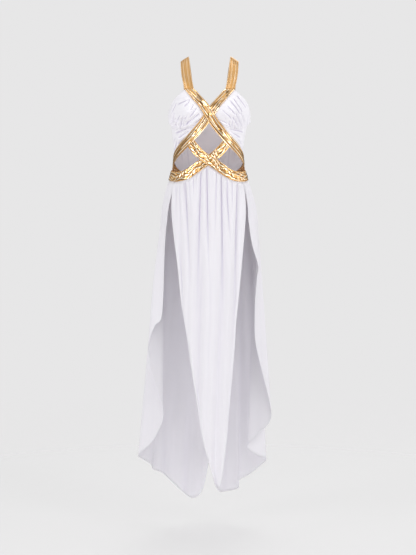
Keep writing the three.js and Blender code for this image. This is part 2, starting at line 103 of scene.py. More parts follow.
def along(rows, key, place):
    """The columns of a table where its key column reaches each value of place."""
    keys = rows[key]
    rising = keys[-1] > keys[0]
    ordered = keys if rising else -keys
    where = place if rising else -place
    i = np.clip(np.searchsorted(ordered, where) - 1, 0, len(keys) - 2)
    step = keys[i + 1] - keys[i]
    s = np.clip((place - keys[i]) / step, 0, 1)
    found = {}
    for name, values in rows.items():
        ahead = np.minimum(np.arange(len(keys)) + 1, len(keys) - 1)
        behind = np.maximum(np.arange(len(keys)) - 1, 0)
        slope = (values[ahead] - values[behind]) / (keys[ahead] - keys[behind])
        found[name] = hermite(s, step, values[i], values[i + 1], slope[i], slope[i + 1])
    return found


def shared(rows):
    """The same table with a share column that runs evenly from 0 to 1."""
    count = len(next(iter(rows.values())))
    return {**rows, "share": np.linspace(0, 1, count)}


def ease(value, low, high):
    s = np.clip((value - low) / (high - low), 0, 1)
    return s * s * (3 - 2 * s)


def mix(a, b, t):
    return a + (b - a) * t


# %% [markdown]
# ## The worn form
# A dress that is worn keeps the roundness of a general figure: an oval at every height, and a
# little room for each cup. A place on it is a turn about the upright axis, 0 at the centre front
# and 90 at the viewer's right, and a height. The sizes are the CAD part's own, in millimetres until
# the last step.

# %% The form
FORM = table(
    "z middle wide front back",
    (60, 0, 110, 45, 60),
    (0, 0, 118, 60, 72),
    (-60, 0, 122, 70, 80),
    (-96, 0, 125, 79, 86),
    (-150, -0.5, 127, 95, 90),
    (-173, -0.8, 128, 98, 90),
    (-221, -2, 118.5, 90, 84),
    (-259, -3, 112.5, 86, 79),
    (-291, -3.3, 108.5, 83, 75),
    (-330, -3.3, 109.5, 83, 74),
    (-362, -3.6, 113, 88, 80),
    (-390, -3.6, 121.5, 96, 92),
    (-420, -3, 132, 102, 104),
    (-480, -1.5, 148, 107, 116),
    (-600, 0, 160, 110, 128),
    (-770, 0, 177, 112, 148),
    (-950, 0, 192, 114, 172),
    (-1480, 0, 238, 120, 236),
)
CUP = {"apart": 66, "reach": 40, "z": -170, "above": 62, "below": 33, "deep": 30}


def on_form(turn, z):
    section = along(FORM, "z", z)
    angle = np.radians(turn)
    facing = np.cos(angle)
    aside = section["wide"] * np.sin(angle)
    x = section["middle"] + aside
    up = (z - CUP["z"]) / np.where(z > CUP["z"], CUP["above"], CUP["below"])
    side = (np.abs(aside) - CUP["apart"]) / CUP["reach"]
    cup = CUP["deep"] * np.exp(-(side**2) - up**2) * np.sqrt(np.clip(facing, 0, 1))
    y = np.where(facing > 0, -section["front"] * facing - cup, -section["back"] * facing)
    return np.stack([x, y, z + 0 * x], -1)


def pushed(points, turn, distance):
    """The points moved straight out from the upright axis."""
    angle = np.radians(turn)
    out = np.stack([np.sin(angle), -np.cos(angle), 0 * angle], -1)
    return points + out * distance[..., None]


# %% [markdown]
# ## From a grid to cloth
# Each piece of cloth starts as one flat bmesh grid, like the cut piece on the table. A function
# then lays each of its vertices on the garment. The piece's UV map keeps its true size, so a weave
# runs along the cloth wherever it hangs. A Solidify modifier gives the sheet its thickness.

# %% The cloth maker
CLOTH = 0.9  # thickness of the cloth, millimetres
LAYER = 2.2  # how much higher a piece lies than the one that it covers
MIDDLE = 0.7  # middle of the CAD wall above its inner face
FOLD_REACH = 5.0  # distance over which a fold of the white cloth is looked for
PLEAT_REACH = 2.4  # the same for a pleat of the foil
pieces = {}


def outward(points):
    """The unit normals of a grid of points: the cross of its u and v directions."""
    along_u = np.gradient(points, axis=1)
    along_v = np.gradient(points, axis=0)
    normal = np.cross(along_u, along_v)
    return normal / np.maximum(np.linalg.norm(normal, axis=-1, keepdims=True), 1e-9)


def sheet_size(points):
    """Width square to the columns, length down the longest column, and area of a grid of points."""
    across = np.diff(points, axis=1)
    grain = np.gradient(points, axis=0)[:, :-1]
    grain = grain / np.maximum(np.linalg.norm(grain, axis=-1, keepdims=True), 1e-9)
    width = np.linalg.norm(np.cross(across, grain), axis=-1).sum(1).max()
    length = np.linalg.norm(np.diff(points, axis=0), axis=-1).sum(0).max()
    a = points[1:, 1:] - points[:-1, :-1]
    b = points[1:, :-1] - points[:-1, 1:]
    return width, length, np.linalg.norm(np.cross(a, b), axis=-1).sum() / 2


def hollows(points, reach):
    """How deep each point lies in a valley of the cloth, as a share of the distance looked over."""
    normal = outward(points)
    found = np.zeros(points.shape[:2])
    for axis in (0, 1):
        step = np.linalg.norm(np.diff(points, axis=axis), axis=-1).mean()
        k = max(1, round(reach / step))
        margin = [(k, k) if i == axis else (0, 0) for i in range(3)]
        padded = np.pad(points, margin, "reflect", reflect_type="odd")
        count = points.shape[axis]
        before, after = (np.take(padded, np.arange(i, i + count), axis) for i in (0, 2 * k))
        found += ((before + after - 2 * points) * normal).sum(-1) / (2 * k * step)
    return found


def make_sheet(name, grid, place, lift=None, reach=FOLD_REACH):
    """A piece of cloth: place lays its grid on the garment, and lift raises it over the layer below."""
    columns, rows = grid
    bm = bmesh.new()
    bmesh.ops.create_grid(bm, x_segments=columns, y_segments=rows, size=0.5, calc_uvs=True)
    bm.verts.ensure_lookup_table()
    flat = np.array([vertex.co for vertex in bm.verts])
    column = np.rint((flat[:, 0] + 0.5) * columns).astype(int)
    row = np.rint((flat[:, 1] + 0.5) * rows).astype(int)
    u, v = np.meshgrid(np.linspace(0, 1, columns + 1), np.linspace(0, 1, rows + 1))
    points = place(u, v)
    height = MIDDLE + (lift(u, v) if lift else 0 * u)
    points = (points + outward(points) * height[..., None]) * MM
    width, length, area = sheet_size(points)
    deep = hollows(points, reach * MM)
    valley = bm.verts.layers.float.new("valley")
    for vertex, i, j in zip(bm.verts, column, row):
        vertex.co = points[j, i]
        vertex[valley] = deep[j, i]
    uv = bm.loops.layers.uv.verify()
    for face in bm.faces:
        face.smooth = True
        for loop in face.loops:
            i, j = column[loop.vert.index], row[loop.vert.index]
            loop[uv].uv = (u[j, i] * width, v[j, i] * length)
    mesh = bpy.data.meshes.new(name)
    bm.to_mesh(mesh)
    bm.free()
    piece = bpy.data.objects.new(name, mesh)
    bpy.context.scene.collection.objects.link(piece)
    solidify = piece.modifiers.new("cloth_thickness", "SOLIDIFY")
    solidify.thickness = CLOTH * MM
    solidify.offset = 0
    pieces[name] = {"object": piece, "size": (width, length), "area": area}
    print(name, "is", round(width, 3), "by", round(length, 3), "m,", len(mesh.polygons), "faces")


def declare(name):
    made = pieces[name]
    piece = made["object"]
    node = name.split("_", 1)[1]
    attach(piece, "root")
    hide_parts(node)


# %% [markdown]
# ## Gold bands
# The crossed bands are strips of stretch cloth with a foil face. A strip is laid between the two
# edges of a table, so it can turn, taper and pass over its twin. The layer column says how high it
# lies there.

# %% Edges of the gold bands
CROSS_BAND = table(
    "top_turn top_z low_turn low_z over under",
    (-22.8, -104, -38, -104, 1, 1),
    (-18, -112, -31, -120, 1, 1),
    (-14.5, -121.5, -23.5, -138, 1.2, 1),
    (-7.5, -138, -15.5, -157.5, 1.9, 1),
    (0, -156, -9.5, -177, 2.1, 1),
    (7.7, -180, -3, -197, 2.1, 1),
    (15, -202, 4, -219.5, 1.9, 1),
    (25, -226, 13.2, -242, 1.2, 1),
    (37, -249, 25.5, -266, 1, 1),
    (50.4, -267, 39.5, -288, 1, 1),
    (64, -285, 55, -309, 1, 1),
    (77, -301, 69.5, -328, 1, 1),
    (90, -317.5, 83.5, -345, 1, 1),
    (103, -331, 97, -357, 1, 1),
    (115, -343, 112, -364, 1, 1),
    (124, -351.5, 122, -366, 1, 1),
    (131, -358, 130, -367.5, 1, 1),
)
WAIST_BAND = table(
    "top_turn top_z low_turn low_z over under",
    (-24.5, -259, -37.5, -280, 0, 0),
    (-16, -279, -27.5, -300, 0.4, 0.1),
    (-7.4, -295, -18, -316, 1.7, 0.8),
    (1.3, -307.5, -8, -330, 2.1, 1),
    (8, -315, 0.5, -341, 2.1, 1),
    (17, -326, 9.7, -353, 2, 1),
    (26, -338.5, 18.5, -366, 1.5, 1),
    (36, -351, 30, -380.5, 1, 1),
    (47, -358.5, 43, -389.5, 1, 1),
    (60, -361.5, 58, -392.5, 1.2, 1.2),
    (76, -361, 76, -391, 2.1, 2.1),
    (92, -358.5, 92, -387.5, 2.1, 2.1),
    (110, -357, 110, -386, 2.1, 2.1),
    (130, -357, 130, -386, 2.1, 2.1),
    (146, -357.5, 146, -386.5, 1.3, 1.3),
    (162, -358, 162, -387, 1, 1),
    (179.93, -358, 179.93, -387, 1, 1),
)

# %% [markdown]
# Foil cloth never lies flat: it buckles into flat facets with sharp edges, and each facet mirrors
# another part of the room. The long bands are pulled, so they pleat lengthwise. Each pleat is one
# row of a table: where it starts and ends as shares of the length, its place over the width at both
# ends, how high it stands and how wide its slope is. A negative width slopes to the other side. The
# waist bands are gathered, so they crumple all over.

# %% Pleats of the long bands
HEM = {"wide": 3.2, "high": 0.5, "groove": 0.5, "thread": 0.7}
DROP = 1.4  # width of a pleat's short side
PLEAT_FADE = 0.22  # share of its length over which a pleat rises, and over which it ends
PLEAT = "start end across to_across high wide"
OVER_PLEATS = table(
    PLEAT,
    (-0.05, 0.16, 0.3, 0.46, 0.5, 9),
    (-0.05, 0.3, 0.72, 0.62, 0.5, -8),
    (0.04, 0.31, 0.18, 0.3, 1.3, 11),
    (0.1, 0.24, 0.52, 0.6, 1.0, 6),
    (0.27, 0.46, 0.8, 0.74, 1.3, -9),
    (0.29, 0.42, 0.52, 0.42, 1.5, 6),
    (0.31, 0.5, 0.24, 0.36, 1.2, -7),
    (0.42, 0.56, 0.66, 0.52, 1.4, 12),
    (0.48, 0.78, 0.3, 0.24, 1.0, -6),
    (0.53, 0.86, 0.62, 0.66, 1.0, 7),
    (0.6, 1.05, 0.44, 0.48, 0.8, -6),
    (0.76, 1.05, 0.78, 0.7, 0.8, 6),
)
UNDER_PLEATS = table(
    PLEAT,
    (-0.05, 0.2, 0.62, 0.7, 0.7, 7),
    (-0.05, 0.18, 0.34, 0.3, 0.4, -8),
    (0.12, 0.27, 0.46, 0.56, 1.3, 7),
    (0.15, 0.3, 0.2, 0.28, 1.0, -6),
    (0.29, 0.52, 0.76, 0.7, 1.4, -11),
    (0.28, 0.5, 0.4, 0.34, 1.3, -8),
    (0.3, 0.44, 0.58, 0.54, 0.8, 4),
    (0.44, 0.6, 0.56, 0.46, 1.6, 7),
    (0.5, 0.66, 0.22, 0.3, 1.4, 6),
    (0.58, 0.9, 0.7, 0.62, 0.9, -7),
    (0.62, 1.05, 0.34, 0.4, 0.9, 7),
    (0.82, 1.05, 0.76, 0.7, 0.8, -6),
)
HEM_SHARE = (0.02, 0.16)  # shares of a band's width between which its relief rises beside the edge

# The wrinkles of a gathered band: waves over its width, millimetres along it for one wave, how much it
# takes of the bend and of the seed, the share of a wave that rises, and its height.
WRINKLES = {
    "run": (2.3, 74, 1, 1, 0.72, 1.25),
    "fine": (3.7, -41, 0.8, 2, 0.4, 0.7),
    "slant": (0.9, 15.5, 1.5, 1, 0.35, 1.15),
}


def tuck(distance, wide):
    """A pleat from 0 to 1: a straight slope of the given width, then a short drop on the other side."""
    reach = np.where(distance * np.sign(wide) < 0, abs(wide), DROP)
    return np.clip(1 - np.abs(distance) / reach, 0, 1)


def pleats(share, across_mm, width_mm, rows):
    height = 0 * share
    for start, end, across, to_across, high, wide in zip(*rows.values()):
        s = (share - start) / (end - start)
        fade = ease(s, 0, PLEAT_FADE) * (1 - ease(s, 1 - PLEAT_FADE, 1))
        middle = width_mm * mix(across, to_across, np.clip(s, 0, 1))
        height += high * fade * tuck(across_mm - middle, wide)
    return height


def hem(across_mm, width_mm):
    """A turned and stitched edge: a low step, with a groove where the thread pulls it in."""
    edge = np.minimum(across_mm, width_mm - across_mm)
    step = HEM["high"] * (1 - ease(edge, HEM["wide"] - 0.6, HEM["wide"] + 0.2))
    return step - HEM["groove"] * np.exp(-(((edge - HEM["wide"]) / HEM["thread"]) ** 2))


def facet_wave(turns, slope):
    """A wave between 0 and 1 with straight sides; slope is the share of it that rises."""
    t = turns - np.floor(turns)
    return np.where(t < slope, t / slope, (1 - t) / (1 - slope))


def crumples(along_mm, across, seed):
    """Slanting wrinkles of a gathered band: long ones that run with it, crossed by short ones."""
    bend = 0.3 * np.sin(along_mm / 21 + seed) + 0.16 * np.sin(along_mm / 8.7 + 4.1 * across + seed)
    patches = 0.5 + 0.5 * np.sin(along_mm / 13 + 5.3 * across + 2.2 * seed)
    height = {}
    for kind, (waves, wave_mm, bent, shift, slope, high) in WRINKLES.items():
        turns = waves * across + along_mm / wave_mm + bent * bend + shift * seed
        height[kind] = high * facet_wave(turns, slope)
    return height["run"] + height["fine"] * (1 - patches) + height["slant"] * patches


def make_band(name, grid, rows, side, layer, relief):
    """A gold band between the edges of a table; side -1 mirrors it, and layer names its height's column."""
    rows = shared(rows)

    def row_at(u):
        return along(rows, "share", u if side > 0 else 1 - u)

    def place(u, v):
        row = row_at(u)
        turn = side * mix(row["low_turn"], row["top_turn"], v)
        return on_form(turn, mix(row["low_z"], row["top_z"], v))

    plain = place(*np.meshgrid(np.linspace(0, 1, 80), np.linspace(0, 1, 5)))
    length = sheet_size(plain)[0]
    width = np.linalg.norm(plain[-1] - plain[0], axis=-1).mean()

    def lift(u, v):
        share = u if side > 0 else 1 - u
        edge = ease(np.minimum(v, 1 - v), *HEM_SHARE)
        shape = hem(v * width, width) + edge * relief(share, share * length, v, width)
        return LAYER * np.maximum(row_at(u)[layer], 0) + shape

    make_sheet(name, grid, place, lift, PLEAT_REACH)


def pleated(rows):
    return lambda share, along_mm, v, width: pleats(share, v * width, width, rows)


def crumpled(seed):
    return lambda share, along_mm, v, width: crumples(along_mm, v, seed)


# %% The four crossed bands
CROSS_GRID = (260, 40)
WAIST_GRID = (330, 34)
make_band("gold_cross_band_over", CROSS_GRID, CROSS_BAND, 1, "over", pleated(OVER_PLEATS))
make_band("gold_cross_band_under", CROSS_GRID, CROSS_BAND, -1, "under", pleated(UNDER_PLEATS))
make_band("gold_waist_band_over", WAIST_GRID, WAIST_BAND, 1, "over", crumpled(0.6))
make_band("gold_waist_band_under", WAIST_GRID, WAIST_BAND, -1, "under", crumpled(2.9))

# %% [markdown]
# ## Neck straps
# Each strap starts at a seam on the end of a cross band, goes over the shoulder and is sewn to the
# back of the bodice. Its two edges are smooth curves, and the strip is stretched between them with
# a slight bow.

# %% Neck straps
STRAP_GRID = (160, 36)
STRAP_HALF = 15  # half of a strap's width
STRAP_BOW = 0.7  # how far its middle stands up between its edges
STRAP_RELIEF = 0.4  # how much flatter its hem and pleats are than those of the bands
STRAP = table(
    "x y z slope",
    (73, -62, -58, 14),
    (77, -30, -18, 26),
    (78, 2, -7, 33),
    (76, 36, -22, 30),
    (71, 66, -66, 16),
    (67, 78, -112, 6),
)
STRAP_END = {"inner": 155.5, "outer": 140.5, "lap": -144, "z": -158}
SEAM = 0.15  # half of the gap between two pieces that are sewn edge to edge
STRAP_PLEATS = table(
    PLEAT,
    (-0.05, 0.45, 0.34, 0.28, 0.6, 7),
    (-0.05, 0.6, 0.62, 0.66, 0.5, -7),
    (0.15, 0.8, 0.5, 0.46, 0.4, 5),
    (0.5, 1.05, 0.3, 0.36, 0.6, -6),
    (0.62, 1.05, 0.7, 0.62, 0.6, 6),
)


def on_band(turn, z):
    """The point of the form at one place, raised to the height of a gold band."""
    step = np.array([-0.5, 0, 0.5])
    turns, heights = np.meshgrid(turn + step, z + step)
    around = on_form(turns, heights)
    return around[1, 1] + outward(around)[1, 1] * LAYER


def smooth_line(points, places):
    """A smooth curve through a few points, sampled evenly by row."""
    rows = {"x": points[:, 0], "y": points[:, 1], "z": points[:, 2]}
    found = along(shared(rows), "share", places)
    return np.stack([found["x"], found["y"], found["z"]], -1)


def make_strap(name, side):
    seam_z = CROSS_BAND["top_z"][0] + 2 * SEAM
    inner = [on_band(-side * CROSS_BAND["top_turn"][0], seam_z)]
    outer = [on_band(-side * CROSS_BAND["low_turn"][0], seam_z)]
    for x, y, z, slope in zip(*STRAP.values()):
        reach = STRAP_HALF * math.cos(math.radians(slope))
        drop = STRAP_HALF * math.sin(math.radians(slope))
        inner.append(np.array([side * (x - reach), y, z + drop]))
        outer.append(np.array([side * (x + reach), y, z - drop]))
    for z in (STRAP_END["lap"], STRAP_END["z"]):
        inner.append(on_band(side * STRAP_END["inner"], z))
        outer.append(on_band(side * STRAP_END["outer"], z))
    edges = [np.array(inner), np.array(outer)]
    if side > 0:
        edges.reverse()

    def place(u, v):
        return mix(smooth_line(edges[0], u), smooth_line(edges[1], u), v[..., None])

    def lift(u, v):
        width = 2 * STRAP_HALF
        across = width * (v if side > 0 else 1 - v)
        relief = hem(across, width) + pleats(u, across, width, STRAP_PLEATS)
        return 4 * STRAP_BOW * v * (1 - v) + STRAP_RELIEF * relief

    make_sheet(name, STRAP_GRID, place, lift, PLEAT_REACH)


make_strap("gold_neck_strap_left", -1)
make_strap("gold_neck_strap_right", 1)

# %% [markdown]
# ## White bodice
# A bust piece or a side piece is a patch between four edges: two seams, its top edge, and the edge
# that is hidden under a gold band. The patch is blended from the four edges, which keeps them all
# exact. Its folds are soft troughs along straight lines, one row of a table for each fold, as they
# are seen on the dress.

# %% Edges of the left half of the bodice
SIDE_SEAM = 92  # turn of the seam between the front and the back
SEAM_TURN = 0.07  # half of the gap there, as a turn
CUP_TOP = table(
    "turn z",
    (-92, -171),
    (-80, -167.5),
    (-75.4, -158.8),
    (-68.4, -146.6),
    (-58.8, -132.9),
    (-47.1, -117.7),
    (-35.5, -101),
)
UNDERBUST = table(
    "turn z",
    (-92, -207),
    (-80, -212),
    (-70.6, -220),
    (-60.4, -226.3),
    (-47.3, -228),
    (-36.7, -225),
    (-25.8, -221.5),
    (-15, -218),
)
CUP_INNER = table(
    "turn z", (-15, -218), (-10, -203), (-8, -184), (-12.5, -160), (-20, -137), (-27.5, -119), (-35.5, -101)
)
MIDRIFF_LOW = table(
    "turn z", (-92, -325), (-78, -309), (-64, -292), (-50.4, -274), (-37, -256), (-25, -238), (-15, -224)
)
MIDRIFF_INNER = table("turn z", (-15, -224), (-15, -218))
BACK_EDGES = table(
    "turn top low",
    (92, -171, -325),
    (103, -168.5, -337),
    (115, -163, -349),
    (124, -158, -357),
    (131, -154, -363),
    (148, -149, -363),
    (180, -153, -363),
)


def patch(side, low, top, inner, low_shift=0, top_shift=0):
    """The sheet between four edges of the left half, mirrored for side 1; the shifts leave a seam's gap."""
    low = shared({**low, "z": low["z"] + low_shift})
    top = shared({**top, "z": top["z"] + top_shift})
    inner = shared(inner)

    def blended(u, v, name):
        bottom = along(low, "share", u)[name]
        upper = along(top, "share", u)[name]
        left = mix(low[name][0], top[name][0], v)
        right = along(inner, "share", v)[name]
        if name == "z":
            right = right + mix(low_shift, top_shift, v)
        corners = mix(mix(low[name][0], low[name][-1], u), mix(top[name][0], top[name][-1], u), v)
        return mix(bottom, upper, v) + mix(left, right, u) - corners

    def spot(u, v):
        s = u if side < 0 else 1 - u
        turn = np.clip(blended(s, v, "turn"), -SIDE_SEAM + SEAM_TURN, 0)
        return -side * turn, blended(s, v, "z")

    return spot


# %% [markdown]
# A fold of cloth is seldom a plain ditch: the cloth beside it swells as much as the trough sinks.
# So each crease below is a trough with a soft ridge on one side, and it fades out at both ends.


# %% Creases on a sheet
DEGREE = 2.1  # millimetres to one degree of turn on the bodice
CREASE_STARTS = (-0.08, 0.16)  # shares of its length between which a crease sinks in
CREASE_ENDS = (0.72, 1.08)  # and between which it ends
SPREAD = 0.8  # share of its width with which a crease starts, and by which it then grows
RIDGE = {"high": 0.6, "aside": 1.5}  # as shares of the trough's depth and width


def creases(turn, z, rows):
    """Height of the cloth over its plain form: a trough and a ridge for each row of a table."""
    x = turn * DEGREE
    height = 0 * x
    for x0, z0, x1, z1, deep, wide in zip(*rows.values()):
        dx, dz = (x1 - x0) * DEGREE, z1 - z0
        length = math.hypot(dx, dz)
        right, up = x - x0 * DEGREE, z - z0
        t = (right * dx + up * dz) / length**2
        away = (right * dz - up * dx) / length / (wide * SPREAD * (1 + np.clip(t, 0, 1)))
        fade = ease(t, *CREASE_STARTS) * (1 - ease(t, *CREASE_ENDS))
        ridge = RIDGE["high"] * np.exp(-((away - RIDGE["aside"]) ** 2))
        height += deep * fade * (ridge - np.exp(-(away**2)))
    return height


print("points along the seam under the bust:", len(UNDERBUST["turn"]))

# %% Folds of the bodice, one row each
CREASE = "turn z to_turn to_z deep wide"
CUP_CREASES = {
    -1: table(
        CREASE,
        (-14.7, -179, -41.7, -221, 6.5, 3.6),
        (-18.7, -162, -30.2, -194, 5.1, 3),
        (-23.2, -151, -27.2, -170, 3.8, 2.5),
        (-29.2, -140, -37.7, -159, 3.2, 2.8),
        (-33.2, -188, -43.7, -217, 4.6, 2.5),
        (-39.7, -190, -49.7, -226, 7.9, 3.8),
        (-50.7, -199, -61.2, -228, 6.8, 3.8),
        (-57.7, -177, -70.7, -218, 6.8, 3.6),
        (-9.2, -191, -26.7, -216, 3.2, 2.5),
        (-20.2, -213, -42.2, -228, 3.8, 2.8),
        (-28.2, -136, -52.2, -152, 2.4, 3.6),
        (-54.2, -146, -63.7, -176, 2.4, 3.2),
        (-21.7, -178, -36.7, -210, 2.7, 3),
    ),
    1: table(
        CREASE,
        (48.3, -116, 74.3, -149, 3.4, 2.8),
        (41.8, -124, 63.8, -162, 4.1, 3),
        (35.8, -134, 54.3, -180, 5.1, 3),
        (29.8, -140, 50.8, -189, 4.1, 3),
        (25.3, -156, 46.3, -199, 3.8, 3),
        (17.8, -168, 38.3, -203, 3.2, 3.2),
        (47.8, -174, 67.3, -224, 7.9, 3.8),
        (39.3, -177, 56.8, -226, 7.5, 3.6),
        (34.3, -187, 47.3, -221, 6.8, 3.4),
        (16.3, -199, 39.3, -221, 4.1, 2.8),
        (22.8, -214, 48.3, -227, 3.9, 2.5),
        (71.3, -179, 79.3, -218, 4.1, 2.8),
    ),
}
MIDRIFF_CREASES = {
    -1: table(
        CREASE,
        (-23.7, -219, -65.7, -240, 5.1, 3.9),
        (-30.7, -231, -57.7, -255, 3.9, 3.6),
        (-41.7, -253, -63.7, -275, 3.2, 3.2),
        (-61.2, -262, -85.2, -296, 2.7, 4.1),
    ),
    1: table(
        CREASE,
        (34.3, -233, 63.8, -256, 4.1, 3.9),
        (38.8, -242, 73.3, -277, 3.4, 3.6),
        (31.8, -228, 68.3, -236, 3, 3.2),
        (56.8, -258, 82.8, -296, 2.7, 4.1),
    ),
}
BACK_CREASES = table(
    CREASE,
    (112, -200, 132, -330, 1.4, 5.0),
    (135, -215, 146, -350, 1.1, 5.0),
    (226, -220, 214, -352, 1.1, 5.0),
    (248, -205, 229, -335, 1.4, 5.0),
    (160, -300, 198, -352, 0.9, 4.0),
    (200, -292, 168, -345, 0.8, 4.0),
)


# %% [markdown]
# The cups are gathered into the seam under the bust. Small puckers start at that seam and fan out,
# and the longer folds of the tables run on from them. Close to a seam the cloth is held flat, so
# both fade there.


# %% The bodice pieces
CUP_GRID = (150, 90)
MIDRIFF_GRID = (110, 70)
BACK_GRID = (170, 80)
PUCKERS = {"count": 15, "high": 6.4, "sharp": 1.4, "rise": 0.06, "up": (0.08, 0.45), "end": (0.75, 0.9)}
SWELL = {"high": 4.0, "rise": 0.08, "up": (0.5, 1), "end": (0.75, 0.95)}  # the cup's fullness over its seam
HELD = (0.04, 0.985)  # shares of a patch's height between which its seams don't hold it flat


def ridges(phase, sharp):
    """A wave between 0 and 1 with narrow ridges."""
    return (0.5 + 0.5 * np.cos(phase)) ** sharp


def fullness(share, up, kind):
    """Cloth that rises over the seam, settles further up, and gets flat beside the band."""
    rise = ease(up, 0, kind["rise"]) * (1 - ease(up, *kind["up"]))
    return kind["high"] * rise * (1 - ease(share, *kind["end"]))


def puckers(share, up, seed):
    """Small gathers that start at a seam and fade upwards."""
    phase = 2 * np.pi * PUCKERS["count"] * (share + 0.012 * np.sin(17 * share + seed))
    uneven = 0.6 + 0.4 * np.sin(9 * share + 2 * seed)
    return ridges(phase, PUCKERS["sharp"]) * uneven * fullness(share, up, PUCKERS)


def make_bodice_half(which, side):
    def laid(spot, rows, relief):
        def place(u, v):
            turn, z = spot(u, v)
            held = ease(v, 0, HELD[0]) * (1 - ease(v, HELD[1], 1))
            return pushed(on_form(turn, z), turn, held * creases(turn, z, rows) + relief(u, v))

        return place

    def cup_relief(u, v):
        share = u if side < 0 else 1 - u
        return fullness(share, v, SWELL) + puckers(share, v, side)

    cup = patch(side, UNDERBUST, CUP_TOP, CUP_INNER, SEAM, 0)
    midriff = patch(side, MIDRIFF_LOW, UNDERBUST, MIDRIFF_INNER, 0, -SEAM)
    make_sheet("white_cup_" + which, CUP_GRID, laid(cup, CUP_CREASES[side], cup_relief))
    plain = laid(midriff, MIDRIFF_CREASES[side], lambda u, v: 0 * u)
    make_sheet("white_midriff_" + which, MIDRIFF_GRID, plain)


def place_back(u, v):
    turn = mix(SIDE_SEAM + SEAM_TURN, 360 - SIDE_SEAM - SEAM_TURN, u)
    edges = along(BACK_EDGES, "turn", np.minimum(turn, 360 - turn))
    z = mix(edges["low"], edges["top"], v)
    return pushed(on_form(turn, z), turn, creases(turn, z, BACK_CREASES))


make_bodice_half("left", -1)
make_bodice_half("right", 1)
make_sheet("white_back_bodice", BACK_GRID, place_back)

# %% [markdown]
# ## The front skirt panel
# The front panel is a wide piece gathered under the waist bands and cut to a point. Its folds start
# at the gathers and fall straight down, each for its own length.

# %% Front panel tables
TUCK = 5  # how far a skirt runs on under its band
SLIT = 59  # turn of the slits
GATHER_START = 12  # depth below the band at which the gathers are full
ROWS_CLOSER = 1.5  # power that draws the grid's rows together at the waist
FRONT = table(
    "z left right",
    (-390, -107, 99.5),
    (-450, -113.5, 106.5),
    (-500, -113.5, 107.8),
    (-576, -106.6, 103.3),
    (-640, -99, 98.5),
    (-766, -87.3, 88.7),
    (-829, -77.7, 82.5),
    (-892, -68, 78.4),
    (-955, -60, 73.9),
    (-1081, -40.5, 63.4),
    (-1206, -21, 53.3),
    (-1269, -3.8, 45.4),
    (-1332, 14.5, 36),
    (-1356, 24.5, 29),
)
FRONT_RISE = 8  # how far the gathered cloth stands off the form between its folds
RISE_FADES = 600  # depth over which it settles
WIDENS = 0.7  # how much wider a fold is at its end
FADES_FROM = 0.1  # share of its length from which a fold gets shallower
FRONT_GRID = (220, 150)
FRONT_CLOTH = {"gathers": 31, "gather": 1.9, "drape": 4.2, "seed": 0.7, "drape_seed": 0.8, "fringe": 0.05}
FRONT_FOLDS = table(
    "start end deep wide long",
    (-101, -100, 4, 5, 170),
    (-92, -86, 4, 4, 220),
    (-82, -70, 5, 4, 190),
    (-75, -56, 9, 5, 420),
    (-62, -54, 4, 4, 260),
    (-50, -47, 5, 4, 150),
    (-41, -40, 5, 4, 170),
    (-27, -50, 12, 6, 640),
    (-18, -22, 4, 3.5, 170),
    (-9, -1, 12, 5, 460),
    (2, 3, 4, 3.5, 260),
    (10, 9, 5, 4, 150),
    (21, 16, 6, 4, 240),
    (36, 46, 11, 5.5, 560),
    (45, 60, 4, 3.5, 170),
    (53, 66, 8, 4.5, 300),
    (68, 70, 5, 4, 180),
    (87, 76, 11, 6, 600),
    (97, 95, 4, 4, 170),
)


def waistline(turn):
    """Height of the lower edge of the waist bands at a turn."""
    return along(WAIST_BAND, "low_turn", np.abs(turn))["low_z"]


def depths(top, low, v):
    """How far below the band each row of a skirt lies, from its hem at v 0 to where it is tucked in."""
    return -TUCK + (top - low + TUCK) * (1 - v) ** ROWS_CLOSER


def fine_gathers(share, depth, count, seed):
    """Narrow uneven gathers that the thread pulls up just under a band."""
    wander = 0.35 * np.sin(count * 0.9 * share + seed) + 0.25 * np.sin(count * 2.3 * share + 2 * seed)
    phase = 2 * np.pi * (count * share + wander)
    reach = 45 + 30 * np.sin(count * 1.7 * share + 3 * seed)
    return ridges(phase, 1.3) * np.exp(-np.maximum(depth, 0) / reach) * ease(depth, 0, GATHER_START)


def long_drape(x, depth, seed):
    """Wide soft undulations of the hanging cloth."""
    drift = x + 0.03 * depth * math.sin(seed)
    wave = np.sin(drift / 9.5 + seed) + 0.6 * np.sin(drift / 5.3 + 1.9 * seed + depth / 420)
    return wave * ease(depth, 60, 360)


# %% Front panel
def place_front(u, v):
    top = waistline(mix(-SLIT, SLIT, u))
    depth = depths(top, FRONT["z"][-1], v)
    z = top - depth
    edge_z = np.minimum(z, FRONT["z"][0])
    edges = along(FRONT, "z", edge_z)
    form = along(FORM, "z", edge_z)
    aside = [(edges[side] - form["middle"]) / form["wide"] for side in ("left", "right")]
    turn = mix(*np.degrees(np.arcsin(aside)), u)
    points = on_form(turn, z)
    below = waistline(turn) - z
    rise = FRONT_RISE * np.exp(-below / RISE_FADES)
    for start, end, deep, wide, long in zip(*FRONT_FOLDS.values()):
        down = np.clip(below / long, 0, 1)
        side = (points[..., 0] - mix(start, end, down)) / (wide * (1 + WIDENS * down))
        rise = rise - deep * np.exp(-(side**2)) * (1 - ease(down, FADES_FROM, 1))
    cloth = FRONT_CLOTH
    fringe = ease(np.minimum(u, 1 - u), 0, cloth["fringe"])
    rise = rise + cloth["gather"] * fine_gathers(u, depth, cloth["gathers"], cloth["seed"]) * fringe
    rise = rise + cloth["drape"] * long_drape(points[..., 0], depth, cloth["drape_seed"]) * fringe
    return pushed(points, turn, ease(below, 0, GATHER_START) * rise)


make_sheet("white_skirt_front", FRONT_GRID, place_front)

